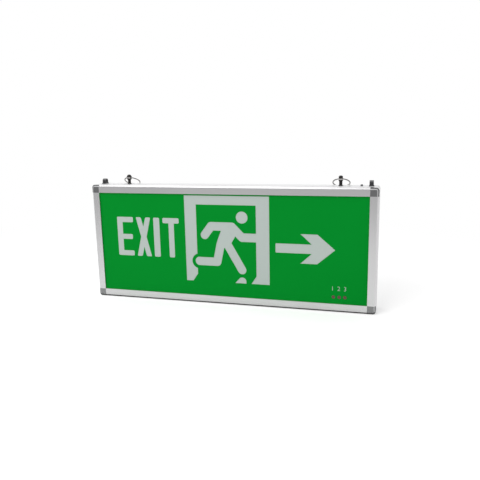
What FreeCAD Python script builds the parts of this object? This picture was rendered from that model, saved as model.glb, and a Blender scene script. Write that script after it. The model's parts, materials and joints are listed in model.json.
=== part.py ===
"""Hanging emergency exit sign, lit from inside.

Frame: X to the viewer's right, Y away from the viewer, Z up.  The origin is the
middle of the flat underside, half way through the depth of the sign.

Two running coordinates place almost everything:
  n  distance inward from the outer edge of the sign, on any of its four sides
  d  distance back from the front face
"""
import FreeCAD, Part
import math
import os

V = FreeCAD.Vector
NEAR = 1e-4                 # two lengths closer than this are the same
PAST = 1.0                  # cutting tools reach this far past what they cut
ROOT = 0.5                  # added bosses reach this far into the wall they stand on
X_AXIS, Y_AXIS, Z_AXIS = V(1, 0, 0), V(0, 1, 0), V(0, 0, 1)

# ---------------------------------------------------------------- the sign
WIDTH = 360.0               # outside width
HEIGHT = 148.0              # outside height, without the hangers
DEPTH = 30.0                # front face to back
BEZEL_DEPTH = 8.0           # depth of the aluminium frame, front part of DEPTH
BORDER = 10.0               # width of the frame round the lit face
CASE_CORNER_R = 3.5         # rounding of the four outer corners

# ---------------------------------------------------------------- frame rails
BEVEL_WIDTH = 1.9           # sloping outer edge, seen from the front
BEVEL_DEPTH = 2.0           # and seen from the side
RAIL_FACE = 1.1             # thickness of the front flange
RAIL_WALL = 1.2             # walls of the closed chamber
CHAMBER_OUTSIDE = 6.2       # outside width of the chamber
LIP_DEPTH = 1.8             # the inner lip reaches back this far, onto the legend
LIP_THICK = 1.2
RAIL_ROUND = 0.5            # rounding of the extruded edges

# ---------------------------------------------------------------- frame corners
PAD_STEP = 1.3              # the raised face is this much smaller than the corner
PAD_HEIGHT = 1.7            # and stands this far in front of its shoulder
PAD_CORNER_R = 2.2
PAD_CHAMFER = 1.1           # wide enough to catch the light as the rails' slopes do
LEG_LENGTH = 18.0           # legs that plug into the rails
LEG_CLEARANCE = 0.1
LEG_TIP = 1.0               # chamfer at the end of a leg
CORNER_SCREW_IN = 4.2               # case screws, in from both edges
PILOT_DEPTH = 4.6
PILOT_SPARE = 0.4           # left in front of a case screw's tip

# ---------------------------------------------------------------- lit face
FILM_THICK = 0.25           # green legend film
PANEL_THICK = 3.0           # opal panel behind it
PANEL_GAP = 0.4             # all round, between the panel and the chamber
SPIGOT_GAP = 0.2            # between chamber and case spigot
SPIGOT_THICK = 1.6
SPIGOT_TO_PANEL = 0.1       # left between the spigot's end and the panel

# ---------------------------------------------------------------- rear case
CASE_WALL = 1.5
CASE_REAR_R = 1.2           # rounding of the rear edge
PILLAR_R = 2.6
CASE_SCREW_R = 1.3
SCREW_HOLE_GAP = 0.15
CASE_SCREW_HEAD_R = 2.4     # countersunk, flush with the back
CASE_SCREW_HEAD = 1.2

# ---------------------------------------------------------------- reflector pan
PAN_SHEET = 0.8
PAN_MOUTH_IN = 9.3           # front edge of the pan
PAN_FLOOR_IN = 11.5          # its floor is smaller, the walls lean inward
PAN_FLOOR_D = 15.0          # front of the floor
PAN_MOUTH_D = 5.8
PAN_SCREW_IN = 30.0         # screws, in from all four edges of the sign
PAN_BOSS_R = 3.2
SMALL_SCREW_R = 1.2
SMALL_HEAD_R = 2.4
SMALL_HEAD = 1.6
SMALL_HEAD_CHAMFER = 0.8
SMALL_SCREW_LENGTH = 5.0
SMALL_SCREW_SPARE = 0.2     # left under the tips in the board's standoffs

# ---------------------------------------------------------------- light strips
STRIP_END_IN = 21.0         # ends of the strips, in from the edges of the sign
STRIP_WIDTH = 10.0
BOARD_THICK = 1.2
STRIP_Z = 26.0              # strips lie this far above and below mid height
LED_COUNT = 12
LED_PITCH = 26.0
LED_WIDTH = 3.5
LED_HEIGHT = 2.8
LED_THICK = 0.8

# ---------------------------------------------------------------- indicators
INDICATOR_COUNT = 3
INDICATOR_IN = 49.2         # the first one, in from the right edge of the sign
INDICATOR_PITCH = 6.75
INDICATOR_Z = 18.0
PIPE_R = 2.0
PIPE_GAP = 0.15             # round each light pipe, in film and panel
PIPE_BAR_D = 7.0            # bar that joins the pipes
PIPE_BAR_THICK = 1.6
PIPE_BAR_HEIGHT = 3.0
INDICATOR_BOARD_X = 26.0
INDICATOR_BOARD_Z = 8.0
CHIP_SIZE = 2.0
CHIP_THICK = 0.8
CHIP_TO_PIPE = 0.2          # air between a chip and its light pipe
PIPE_FOOT = 2.0             # feet of the light pipe, and their inset
PIPE_FOOT_INSET = 1.0

# ---------------------------------------------------------------- power unit
BOARD_STANDOFF = 2.0
STANDOFF_R = 2.6
POWER_BOARD_THICK = 1.6
POWER_BOARD_LENGTH = 92.0
POWER_BOARD_WIDTH = 42.0
POWER_BOARD_IN = 64.0       # its left end, in from the left edge of the sign
BOARD_SCREW_IN = 4.0        # screws, in from the edges of the board
TRANSFORMER = (17.0, 7.6, 14.0)
TRANSFORMER_X = -14.0       # from the middle of the board
CORE_OVERHANG = 2.0         # the bobbin sticks out above and below the core
BOBBIN_SUNK = 1.0           # and lies this far behind its front
CAPACITOR_R = 3.6
CAPACITOR_LENGTH = 12.0
CAPACITOR_X = 8.0
CAPACITOR_PITCH = 14.0
CAPACITOR_COUNT = 2
CAPACITOR_CHAMFER = 0.5
TERMINAL = (15.0, 7.4, 8.0)
TERMINAL_X = -36.0
TERMINAL_WAYS = 3
TERMINAL_BORE_R = 1.3
TERMINAL_WAY_LENGTH = 4.8   # wire ways, up from the lower side
TERMINAL_WAY_DEEP = 2.6     # their middle, in front of the board
RELAY_CORNER_R = 0.6
RELAY = (12.0, 7.0, 9.0)
RELAY_X = 34.0

# ---------------------------------------------------------------- battery
CELL_R = 5.2
CELL_LENGTH = 44.5
CELL_COUNT = 3
SLEEVE_WEB = 3.6            # half the thickness of the sleeve between two cells
BATTERY_IN = 95.75          # right end of the pack, in from the right edge of the sign
BATTERY_GAP = 0.2           # between the pack and the back wall
STRAP_SHEET = 0.7
STRAP_WIDTH = 12.0
STRAP_FOOT = 8.0
STRAP_GAP = 0.2

# ---------------------------------------------------------------- cable inlet
INLET_IN = 88.0             # from the left edge of the sign
INLET_DOWN = 28.0           # from the top of the case
GROMMET_BORE_R = 3.0
GROMMET_NECK_R = 4.4
GROMMET_FLANGE_R = 6.2
GROMMET_FLANGE = 1.0
GROMMET_CHAMFER = 0.5
GROMMET_GAP = 0.05

# ---------------------------------------------------------------- hangers
EYE_IN = 44.5               # eye studs, in from the ends of the sign
STUD_COLLAR_R = 2.7
STUD_COLLAR = 0.8
STUD_R = 1.9
EYE_HOLE_UP = 8.0           # eye hole above the top of the case
EYE_HOLE_R = 1.5
EYE_R = 2.7                 # round head of the stud
EYE_HEAD_FLAT = 2.3         # half the head's width across the hole
STUD_TOP = 11.8             # top of the head above the case
STUD_CROWN_CHAMFER = 0.9
THREAD_R = 1.45
THREAD_LENGTH = 6.0         # below the top of the case
THREAD_GAP = 0.1
NUT_FLATS = 5.0
NUT_THICK = 2.2

RING_OUTER_R = 10.5
RING_WIRE_WIDTH = 1.2       # across the band, in the plane of the ring
RING_WIRE_THICK = 0.75      # one turn, across that plane
RING_TURNS = 2
RING_TURN_GAP = 0.04
RING_END_GAP = 1.2          # between the ends of a turn
RING_END_X = 4.7            # the ends lie this far to either side
RING_LINK = 5.3             # width of the piece that joins the turns
RING_REST_GAP = 0.3         # to the case's edge that the ring leans on

LUG_IN = 9.5                # end lugs, in from the ends of the sign
LUG_THICK = 4.6             # along X
LUG_DEPTH = 6.4             # along Y
LUG_UP = 6.6                # top of the lug above the case
LUG_BORE_R = 1.6
LUG_FOOT = 1.0
LUG_FOOT_RIM = 0.6

# ---------------------------------------------------------------- test button
BUTTON_IN = 20.5            # in from the right end of the sign
BUTTON_R = 1.5
BUTTON_PROUD = 1.8
BUTTON_CHAMFER = 0.4
BUTTON_TRAVEL = 1.0
BUTTON_GAP = 0.08
BUTTON_FLANGE_R = 2.6
BUTTON_FLANGE = 1.0
BUTTON_FLANGE_GAP = 0.15    # under the case wall
BUTTON_STEM_R = 1.0
BUTTON_STEM = 1.6
BUTTON_SPARE = 0.25         # left over the switch at the end of the travel
SWITCH_SIZE = 6.0
SWITCH_HEIGHT = 3.4
SWITCH_PLUNGER_R = 1.5
SWITCH_PLUNGER = 0.6
SWITCH_BOARD_X = 14.0
SHELF_WIDTH = 2.5
SHELF_HEIGHT = 2.0

# ---------------------------------------------------------------- legend
# Places on the lit face run from its top left corner: right, then down.
LIMB_R = 5.4                # half the thickness of every limb
HEAD_R = 7.4
HEAD_AT = (189.8, 27.8)
ELBOW_AT = (150.4, 39.5)
REAR_HAND_AT = (141.9, 50.7)
SHOULDER_AT = (176.9, 39.5)
FRONT_ELBOW_AT = (189.8, 52.4)
HIP_FRONT_AT = (171.6, 62.5)
FRONT_FOOT_AT = (189.3, 93.2)
HIP_REAR_AT = (162.0, 63.0)
KNEE_AT = (157.3, 84.2)
REAR_FOOT_AT = (134.0, 84.2)
TORSO = [(163.0, 44.7), (164.5, 37.0), (178.0, 37.0), (181.2, 51.4), (176.3, 59.8),
         (171.6, 64.0), (166.9, 66.3), (160.0, 66.0), (156.7, 61.8), (158.5, 56.0)]
DOOR_LEFT, DOOR_RIGHT = 116.0, 223.8
DOOR_TOP, DOOR_BOTTOM = 1.8, 110.2
JAMB_LEFT, JAMB_RIGHT = 131.4, 207.3     # inner edges of the door jambs
LINTEL_BOTTOM = 13.0
JAMB_CUT_RISE = 9.7         # height of the slanted foot of each jamb
JAMB_CUT_RUN = 6.6
NOTCH_GAP = 4.1             # green left round the rear foot
SHADOW_LEFT, SHADOW_RIGHT = 180.0, 194.4
SHADOW_BEND_AT = (186.3, 103.3)          # the slope turns into a round top
SHADOW_CROWN_AT = (191.2, 102.9)
SHADOW_SIDE_Y = 106.4
ARROW_TAIL_X, ARROW_TIP_X = 231.2, 302.2
ARROW_Y = 63.4
ARROW_SHAFT_HALF = 5.75
ARROW_NOTCH_X = 274.6
ARROW_BARB_X = 261.2
ARROW_HALF = 17.9
ARROW_SHOULDER_X = 281.4
ARROW_TAIL_R = 1.2

# ---------------------------------------------------------------- worked out
HALF_WIDTH = WIDTH / 2
PAN_SCREW_X = HALF_WIDTH - PAN_SCREW_IN
INDICATOR_X = HALF_WIDTH - INDICATOR_IN
POWER_BOARD_X = -HALF_WIDTH + POWER_BOARD_IN + POWER_BOARD_LENGTH / 2
BATTERY_X = HALF_WIDTH - BATTERY_IN - CELL_LENGTH / 2
INLET_X = -HALF_WIDTH + INLET_IN
INLET_Z = HEIGHT - INLET_DOWN
EYE_X = HALF_WIDTH - EYE_IN
LUG_X = HALF_WIDTH - LUG_IN
BUTTON_X = HALF_WIDTH - BUTTON_IN
FRONT_Y = -DEPTH / 2
MID_Z = HEIGHT / 2
PANEL_N = CHAMBER_OUTSIDE + PANEL_GAP
FILM_D = LIP_DEPTH
PANEL_D = FILM_D + FILM_THICK
PANEL_BACK_D = PANEL_D + PANEL_THICK
SPIGOT_N = CHAMBER_OUTSIDE + SPIGOT_GAP
SPIGOT_IN_N = SPIGOT_N + SPIGOT_THICK
CASE_FLOOR_D = DEPTH - CASE_WALL
SHOULDER_BACK_D = BEZEL_DEPTH + CASE_WALL
HANGER_D = (BEZEL_DEPTH + DEPTH) / 2      # the hangers stand on the case's mid line
PAN_BACK_D = PAN_FLOOR_D + PAN_SHEET
BOARD_D = CASE_FLOOR_D - BOARD_STANDOFF - POWER_BOARD_THICK
CASE_SCREW_HOLE_R = CASE_SCREW_R + SCREW_HOLE_GAP
RING_MID_R = RING_OUTER_R - RING_WIRE_WIDTH / 2


def y_at(d):
    """Depth d behind the front face, as a Y coordinate."""
    return FRONT_Y + d


def box(x0, x1, d0, d1, z0, z1):
    """Block between two X, two depths and two Z."""
    return Part.makeBox(x1 - x0, d1 - d0, z1 - z0, V(x0, y_at(d0), z0))


def centred_box(x, d0, z, size):
    """Block centred on x and z, from depth d0 backwards; size is X, depth, Z."""
    return box(x - size[0] / 2, x + size[0] / 2, d0, d0 + size[1], z - size[2] / 2, z + size[2] / 2)


def slab(n, d0, d1, corner_r=0.0):
    """Plate of the sign's outline set in by n, with rounded corners."""
    plate = box(-HALF_WIDTH + n, HALF_WIDTH - n, d0, d1, n, HEIGHT - n)
    if corner_r > 0:
        edges = [e for e in plate.Edges if along(e, Y_AXIS)]
        plate = plate.makeFillet(corner_r, edges)
    return plate


def ring_wall(n_out, n_in, d0, d1, r_out=0.0, r_in=0.0):
    """Rectangular wall between two outlines."""
    return slab(n_out, d0, d1, r_out).cut(slab(n_in, d0 - PAST, d1 + PAST, r_in))


def along(edge, axis):
    """True for a straight edge parallel to the axis."""
    if len(edge.Vertexes) < 2 or edge.Curve.TypeId != "Part::GeomLine":
        return False
    run = edge.Vertexes[1].Point - edge.Vertexes[0].Point
    return abs(abs(run.normalize().dot(axis)) - 1) < 1e-6


def rod(x, d0, d1, z, r):
    """Round bar along the depth."""
    return Part.makeCylinder(r, d1 - d0, V(x, y_at(d0), z), Y_AXIS)


def post(x, d, z0, z1, r):
    """Round bar standing up."""
    return Part.makeCylinder(r, z1 - z0, V(x, y_at(d), z0), Z_AXIS)


def prism(points, run):
    """Closed polygon pushed along a vector."""
    wire = Part.makePolygon(points + [points[0]])
    return Part.Face(wire).extrude(run)


def fused(solids):
    """One solid out of several that touch or overlap."""
    return solids[0].multiFuse(solids[1:]).removeSplitter() if len(solids) > 1 else solids[0]


def group(solids):
    return Part.makeCompound(solids)


def corners_of_sign():
    """Name, X sign, True for the top, for each of the four corners."""
    return [("top_left", -1, True), ("top_right", 1, True),
            ("bottom_left", -1, False), ("bottom_right", 1, False)]


def corner_point(side, top, nx, d, nz):
    """Point given by its distances in from a corner's two edges."""
    x = side * (HALF_WIDTH - nx)
    z = HEIGHT - nz if top else nz
    return V(x, y_at(d), z)


def countersunk_screw(x, z, length):
    """Screw from the back, its head flush with the case."""
    head = Part.makeCone(CASE_SCREW_HEAD_R, CASE_SCREW_R, CASE_SCREW_HEAD, V(x, y_at(DEPTH), z), -Y_AXIS)
    return head.fuse(rod(x, DEPTH - length, DEPTH - CASE_SCREW_HEAD, z, CASE_SCREW_R))


def pan_head_screw(x, d_seat, z):
    """Small screw driven backwards, its head in front of the seat."""
    head = rod(x, d_seat - SMALL_HEAD, d_seat, z, SMALL_HEAD_R)
    front = y_at(d_seat - SMALL_HEAD)
    rim = [e for e in head.Edges if e.Curve.TypeId == "Part::GeomCircle" and e.CenterOfMass.y < front + NEAR]
    head = head.makeChamfer(SMALL_HEAD_CHAMFER, rim)
    return head.fuse(rod(x, d_seat, d_seat + SMALL_SCREW_LENGTH, z, SMALL_SCREW_R))


# ================================================================ frame
def chamber_outline(clear):
    """Section of the rail's chamber, or of the leg that fills it; as (n, d)."""
    n_out = RAIL_WALL + clear
    n_in = CHAMBER_OUTSIDE - RAIL_WALL - clear
    d_front = RAIL_FACE + clear
    d_back = BEZEL_DEPTH - RAIL_WALL - clear
    return [(n_out, d_front + BEVEL_DEPTH / 2), (n_out + BEVEL_WIDTH / 2, d_front),
            (n_in, d_front), (n_in, d_back), (n_out, d_back)]


def rail_outline():
    """Outer outline of the rail's section, as (n, d)."""
    return [(0, BEVEL_DEPTH), (BEVEL_WIDTH, 0), (BORDER, 0), (BORDER, LIP_DEPTH),
            (BORDER - LIP_THICK, LIP_DEPTH), (BORDER - LIP_THICK, RAIL_FACE),
            (CHAMBER_OUTSIDE, RAIL_FACE), (CHAMBER_OUTSIDE, BEZEL_DEPTH), (0, BEZEL_DEPTH)]


def rail(place, run):
    """Extruded rail; place turns (n, d) into a point at one end."""
    bar = prism([place(n, d) for n, d in rail_outline()], run)
    rounded = [place(n, d) for n, d in ((0, BEVEL_DEPTH), (BEVEL_WIDTH, 0))]
    edges = [e for e in bar.Edges if any(is_long_edge_at(e, p, run) for p in rounded)]
    bar = bar.makeFillet(RAIL_ROUND, edges)
    return bar.cut(prism([place(n, d) for n, d in chamber_outline(0)], run))


def is_long_edge_at(edge, point, run):
    ends = [v.Point for v in edge.Vertexes]
    return all(min((e - point).Length, (e - point - run).Length) < NEAR for e in ends)


def frame_rails():
    long_run = V(WIDTH - 2 * BORDER, 0, 0)
    tall_run = V(0, 0, HEIGHT - 2 * BORDER)
    x0 = -HALF_WIDTH + BORDER
    return {
        "frame_top": rail(lambda n, d: V(x0, y_at(d), HEIGHT - n), long_run),
        "frame_bottom": rail(lambda n, d: V(x0, y_at(d), n), long_run),
        "frame_left": rail(lambda n, d: V(-HALF_WIDTH + n, y_at(d), BORDER), tall_run),
        "frame_right": rail(lambda n, d: V(HALF_WIDTH - n, y_at(d), BORDER), tall_run),
    }


def frame_corner(side, top):
    """Moulded corner: a raised square face on a shoulder, with two legs."""
    def block(nx0, nx1, d0, d1, nz0, nz1):
        a = corner_point(side, top, nx0, d0, nz0)
        b = corner_point(side, top, nx1, d1, nz1)
        low = V(min(a.x, b.x), min(a.y, b.y), min(a.z, b.z))
        return Part.makeBox(abs(b.x - a.x), abs(b.y - a.y), abs(b.z - a.z), low)

    def upright(shape, nx, nz):
        spot = corner_point(side, top, nx, 0, nz)
        return [e for e in shape.Edges if along(e, Y_AXIS)
                and math.hypot(e.CenterOfMass.x - spot.x, e.CenterOfMass.z - spot.z) < NEAR]

    body = block(0, BORDER, PAD_HEIGHT, BEZEL_DEPTH, 0, BORDER)
    body = body.makeFillet(CASE_CORNER_R, upright(body, 0, 0))
    pad = block(PAD_STEP, BORDER, 0, PAD_HEIGHT, PAD_STEP, BORDER)
    pad = pad.makeFillet(PAD_CORNER_R, upright(pad, PAD_STEP, PAD_STEP))
    inner = corner_point(side, top, BORDER, 0, BORDER)
    front_outer = [e for e in pad.Edges if e.BoundBox.YMax < FRONT_Y + NEAR
                   and abs(e.CenterOfMass.x - inner.x) > 1e-3 and abs(e.CenterOfMass.z - inner.z) > 1e-3]
    pad = pad.makeChamfer(PAD_CHAMFER, front_outer)
    pocket = block(CHAMBER_OUTSIDE, BORDER, LIP_DEPTH, BEZEL_DEPTH, CHAMBER_OUTSIDE, BORDER)
    corner = body.fuse(pad).removeSplitter().cut(pocket)
    end = BORDER + LEG_LENGTH
    legs = []
    for flat in (True, False):
        def place(n, d, reach, flat=flat):
            return corner_point(side, top, reach, d, n) if flat else corner_point(side, top, n, d, reach)
        ring_points = [place(n, d, BORDER - LEG_TIP) for n, d in chamber_outline(LEG_CLEARANCE)]
        run = place(0, 0, end) - place(0, 0, BORDER - LEG_TIP)
        leg = prism(ring_points, run)
        tip = place(0, 0, end)
        tip_edges = [e for e in leg.Edges if is_tip_edge(e, tip, flat)]
        legs.append(leg.makeChamfer(LEG_TIP / 2, tip_edges))
    corner = corner.multiFuse(legs).removeSplitter()
    spot = corner_point(side, top, CORNER_SCREW_IN, BEZEL_DEPTH, CORNER_SCREW_IN)
    pilot = Part.makeCylinder(CASE_SCREW_R, PILOT_DEPTH, spot, -Y_AXIS)
    return corner.cut(pilot)


def is_tip_edge(edge, tip, flat):
    box_of = edge.BoundBox
    if flat:
        return abs(box_of.XMin - tip.x) < NEAR and abs(box_of.XMax - tip.x) < NEAR
    return abs(box_of.ZMin - tip.z) < NEAR and abs(box_of.ZMax - tip.z) < NEAR


# ================================================================ legend and panel
def on_face(right, down, d=0.0):
    """Point on the lit face, from its top left corner."""
    return V(-HALF_WIDTH + BORDER + right, y_at(d), HEIGHT - BORDER - down)


def flat_polygon(points):
    places = [on_face(*p) for p in points]
    return Part.Face(Part.makePolygon(places + [places[0]]))


def flat_disc(at, r):
    return Part.Face(Part.Wire(Part.Circle(on_face(*at), Y_AXIS, r).toShape()))


def limb(start, end):
    """Straight limb with round ends."""
    run = V(end[0] - start[0], end[1] - start[1], 0).normalize()
    side = (-run.y * LIMB_R, run.x * LIMB_R)
    tip = (end[0] + run.x * LIMB_R, end[1] + run.y * LIMB_R)
    tail = (start[0] - run.x * LIMB_R, start[1] - run.y * LIMB_R)
    a, b = on_face(start[0] + side[0], start[1] + side[1]), on_face(end[0] + side[0], end[1] + side[1])
    c, e = on_face(end[0] - side[0], end[1] - side[1]), on_face(start[0] - side[0], start[1] - side[1])
    edges = [Part.LineSegment(a, b).toShape(), Part.Arc(b, on_face(*tip), c).toShape(),
             Part.LineSegment(c, e).toShape(), Part.Arc(e, on_face(*tail), a).toShape()]
    return Part.Face(Part.Wire(edges))


def runner():
    """Running figure, its front hand on the right jamb."""
    hand = ((JAMB_RIGHT + DOOR_RIGHT) / 2, FRONT_ELBOW_AT[1])
    parts = [limb(ELBOW_AT, REAR_HAND_AT), limb(ELBOW_AT, SHOULDER_AT), limb(SHOULDER_AT, FRONT_ELBOW_AT),
             limb(FRONT_ELBOW_AT, hand), limb(HIP_FRONT_AT, FRONT_FOOT_AT), limb(HIP_REAR_AT, KNEE_AT),
             limb(KNEE_AT, REAR_FOOT_AT), flat_polygon(TORSO)]
    return parts


def door():
    """Door frame with slanted feet and a round notch for the rear foot."""
    cut_top = DOOR_BOTTOM - JAMB_CUT_RISE
    frame = flat_polygon([(DOOR_LEFT, DOOR_TOP), (DOOR_RIGHT, DOOR_TOP), (DOOR_RIGHT, DOOR_BOTTOM),
                          (JAMB_RIGHT - JAMB_CUT_RUN, DOOR_BOTTOM), (JAMB_RIGHT, cut_top),
                          (JAMB_RIGHT, LINTEL_BOTTOM), (JAMB_LEFT, LINTEL_BOTTOM), (JAMB_LEFT, cut_top),
                          (JAMB_LEFT - JAMB_CUT_RUN, DOOR_BOTTOM), (DOOR_LEFT, DOOR_BOTTOM)])
    return frame.cut(flat_disc(REAR_FOOT_AT, LIMB_R + NOTCH_GAP))


def foot_shadow():
    """Mark under the front foot: a slope that ends in a round top."""
    low_left, bend = on_face(SHADOW_LEFT, DOOR_BOTTOM), on_face(*SHADOW_BEND_AT)
    side, low_right = on_face(SHADOW_RIGHT, SHADOW_SIDE_Y), on_face(SHADOW_RIGHT, DOOR_BOTTOM)
    edges = [Part.LineSegment(low_left, bend).toShape(),
             Part.Arc(bend, on_face(*SHADOW_CROWN_AT), side).toShape(),
             Part.LineSegment(side, low_right).toShape(), Part.LineSegment(low_right, low_left).toShape()]
    return Part.Face(Part.Wire(edges))


def arrow():
    half, shaft = ARROW_HALF, ARROW_SHAFT_HALF
    outline = [(ARROW_TAIL_X, -shaft), (ARROW_NOTCH_X, -shaft), (ARROW_BARB_X, -half),
               (ARROW_SHOULDER_X, -half), (ARROW_TIP_X, 0), (ARROW_SHOULDER_X, half),
               (ARROW_BARB_X, half), (ARROW_NOTCH_X, shaft), (ARROW_TAIL_X, shaft)]
    return flat_polygon([(right, ARROW_Y + down) for right, down in outline])


def cutter(faces, d0, d1):
    """Fuses flat shapes and pushes them through the film."""
    flat = faces[0].multiFuse(faces[1:]).removeSplitter() if len(faces) > 1 else faces[0]
    solids = [face.extrude(Y_AXIS * (d1 - d0)) for face in flat.Faces]
    moved = group(solids)
    moved.translate(Y_AXIS * d0)
    return moved


def indicator_places():
    return [INDICATOR_X + i * INDICATOR_PITCH for i in range(INDICATOR_COUNT)]


def legend_film():
    film = slab(PANEL_N, FILM_D, PANEL_D)
    through = (FILM_D - PAST, PANEL_D + PAST)
    shapes = [cutter(runner() + [door()], *through), cutter([flat_disc(HEAD_AT, HEAD_R)], *through),
              cutter([foot_shadow()], *through)]
    arrow_cut = arrow().extrude(Y_AXIS * (through[1] - through[0]))
    arrow_cut.translate(Y_AXIS * through[0])
    tail = [e for e in arrow_cut.Edges if along(e, Y_AXIS)
            and abs(e.CenterOfMass.x - on_face(ARROW_TAIL_X, 0).x) < NEAR]
    shapes.append(arrow_cut.makeFillet(ARROW_TAIL_R, tail))
    for x in indicator_places():
        shapes.append(rod(x, through[0], through[1], INDICATOR_Z, PIPE_R + PIPE_GAP))
    for shape in shapes:
        film = film.cut(shape)
    return film


def face_panel():
    panel = slab(PANEL_N, PANEL_D, PANEL_BACK_D)
    for x in indicator_places():
        panel = panel.cut(rod(x, PANEL_D - PAST, PANEL_BACK_D + PAST, INDICATOR_Z, PIPE_R + PIPE_GAP))
    return panel


# ================================================================ case
def pan_screw_places():
    return [(sx * PAN_SCREW_X, MID_Z + sz * (MID_Z - PAN_SCREW_IN)) for sx in (-1, 1) for sz in (-1, 1)]


def board_screw_places():
    half_l, half_w = POWER_BOARD_LENGTH / 2 - BOARD_SCREW_IN, POWER_BOARD_WIDTH / 2 - BOARD_SCREW_IN
    return [(POWER_BOARD_X + sx * half_l, MID_Z + sz * half_w) for sx in (-1, 1) for sz in (-1, 1)]


def strap_foot_places():
    reach = CELL_COUNT * CELL_R + STRAP_GAP + STRAP_SHEET + STRAP_FOOT / 2
    return [(BATTERY_X, MID_Z + s * reach) for s in (-1, 1)]


def switch_levels():
    """Heights of the test switch: board underside, board top, body top, plunger top."""
    plunger_top = HEIGHT - CASE_WALL - BUTTON_FLANGE_GAP - BUTTON_FLANGE - BUTTON_STEM
    plunger_top -= BUTTON_TRAVEL + BUTTON_SPARE
    body_top = plunger_top - SWITCH_PLUNGER
    board_top = body_top - SWITCH_HEIGHT
    return board_top - BOARD_THICK, board_top, body_top, plunger_top


def rear_case():
    outside = slab(0, BEZEL_DEPTH, DEPTH, CASE_CORNER_R)
    rear_rim = [e for e in outside.Edges if e.BoundBox.YMin > y_at(DEPTH) - NEAR]
    outside = outside.makeFillet(CASE_REAR_R, rear_rim)
    case = outside.cut(slab(CASE_WALL, SHOULDER_BACK_D, CASE_FLOOR_D, CASE_CORNER_R - CASE_WALL))
    case = case.cut(slab(SPIGOT_IN_N, BEZEL_DEPTH - PAST, SHOULDER_BACK_D + PAST))
    spigot = ring_wall(SPIGOT_N, SPIGOT_IN_N, PANEL_BACK_D + SPIGOT_TO_PANEL, SHOULDER_BACK_D)
    adds = [spigot]
    for _, side, top in corners_of_sign():
        p = corner_point(side, top, CORNER_SCREW_IN, 0, CORNER_SCREW_IN)
        adds.append(rod(p.x, SHOULDER_BACK_D - ROOT, CASE_FLOOR_D + ROOT, p.z, PILLAR_R))
    for x, z in pan_screw_places():
        adds.append(rod(x, PAN_BACK_D, CASE_FLOOR_D + ROOT, z, PAN_BOSS_R))
    for x, z in board_screw_places():
        adds.append(rod(x, CASE_FLOOR_D - BOARD_STANDOFF, CASE_FLOOR_D + ROOT, z, STANDOFF_R))
    shelf_top = switch_levels()[0]
    for s in (-1, 1):
        x = BUTTON_X + s * (SWITCH_BOARD_X - SHELF_WIDTH) / 2
        adds.append(box(x - SHELF_WIDTH / 2, x + SHELF_WIDTH / 2, HANGER_D - SWITCH_SIZE / 2,
                        CASE_FLOOR_D + ROOT, shelf_top - SHELF_HEIGHT, shelf_top))
    case = case.multiFuse(adds).removeSplitter()
    holes = []
    for _, side, top in corners_of_sign():
        p = corner_point(side, top, CORNER_SCREW_IN, 0, CORNER_SCREW_IN)
        holes.append(rod(p.x, BEZEL_DEPTH - PAST, DEPTH + PAST, p.z, CASE_SCREW_HOLE_R))
        head_r = CASE_SCREW_HEAD_R + SCREW_HOLE_GAP
        holes.append(Part.makeCone(head_r, CASE_SCREW_HOLE_R, CASE_SCREW_HEAD, V(p.x, y_at(DEPTH), p.z), -Y_AXIS))
    for x, z in pan_screw_places():
        holes.append(rod(x, PAN_BACK_D - PAST, PAN_BACK_D + SMALL_SCREW_LENGTH, z, SMALL_SCREW_R))
    for x, z in board_screw_places():
        holes.append(rod(x, BOARD_D, CASE_FLOOR_D, z, SMALL_SCREW_R))
    holes.append(rod(INLET_X, CASE_FLOOR_D - PAST, DEPTH + PAST, INLET_Z, GROMMET_NECK_R + GROMMET_GAP))
    for x in (-EYE_X, EYE_X, -LUG_X, LUG_X):
        holes.append(post(x, HANGER_D, HEIGHT - CASE_WALL - PAST, HEIGHT + PAST, THREAD_R + THREAD_GAP))
    holes.append(post(BUTTON_X, HANGER_D, HEIGHT - CASE_WALL - PAST, HEIGHT + PAST, BUTTON_R + BUTTON_GAP))
    return case.cut(group(holes))


def case_screws():
    length = DEPTH - BEZEL_DEPTH + PILOT_DEPTH - PILOT_SPARE
    points = [corner_point(side, top, CORNER_SCREW_IN, 0, CORNER_SCREW_IN) for _, side, top in corners_of_sign()]
    return group([countersunk_screw(p.x, p.z, length) for p in points])


def grommet():
    """Rubber bush with a groove, gripping the back wall."""
    inner = CASE_FLOOR_D - GROMMET_FLANGE
    outer = DEPTH + GROMMET_FLANGE
    bush = rod(INLET_X, inner, outer, INLET_Z, GROMMET_NECK_R)
    bush = bush.fuse(rod(INLET_X, inner, CASE_FLOOR_D, INLET_Z, GROMMET_FLANGE_R))
    bush = bush.fuse(rod(INLET_X, DEPTH, outer, INLET_Z, GROMMET_FLANGE_R))
    bush = bush.removeSplitter()
    rim = [e for e in bush.Edges if e.Curve.TypeId == "Part::GeomCircle"
           and e.CenterOfMass.y > y_at(outer) - NEAR]
    bush = bush.makeChamfer(GROMMET_CHAMFER, rim)
    return bush.cut(rod(INLET_X, inner - PAST, outer + PAST, INLET_Z, GROMMET_BORE_R))


# ================================================================ light unit
def pan_outline(n, d):
    a, b = V(-HALF_WIDTH + n, y_at(d), n), V(HALF_WIDTH - n, y_at(d), n)
    c, e = V(HALF_WIDTH - n, y_at(d), HEIGHT - n), V(-HALF_WIDTH + n, y_at(d), HEIGHT - n)
    return Part.makePolygon([a, b, c, e, a])


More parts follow.
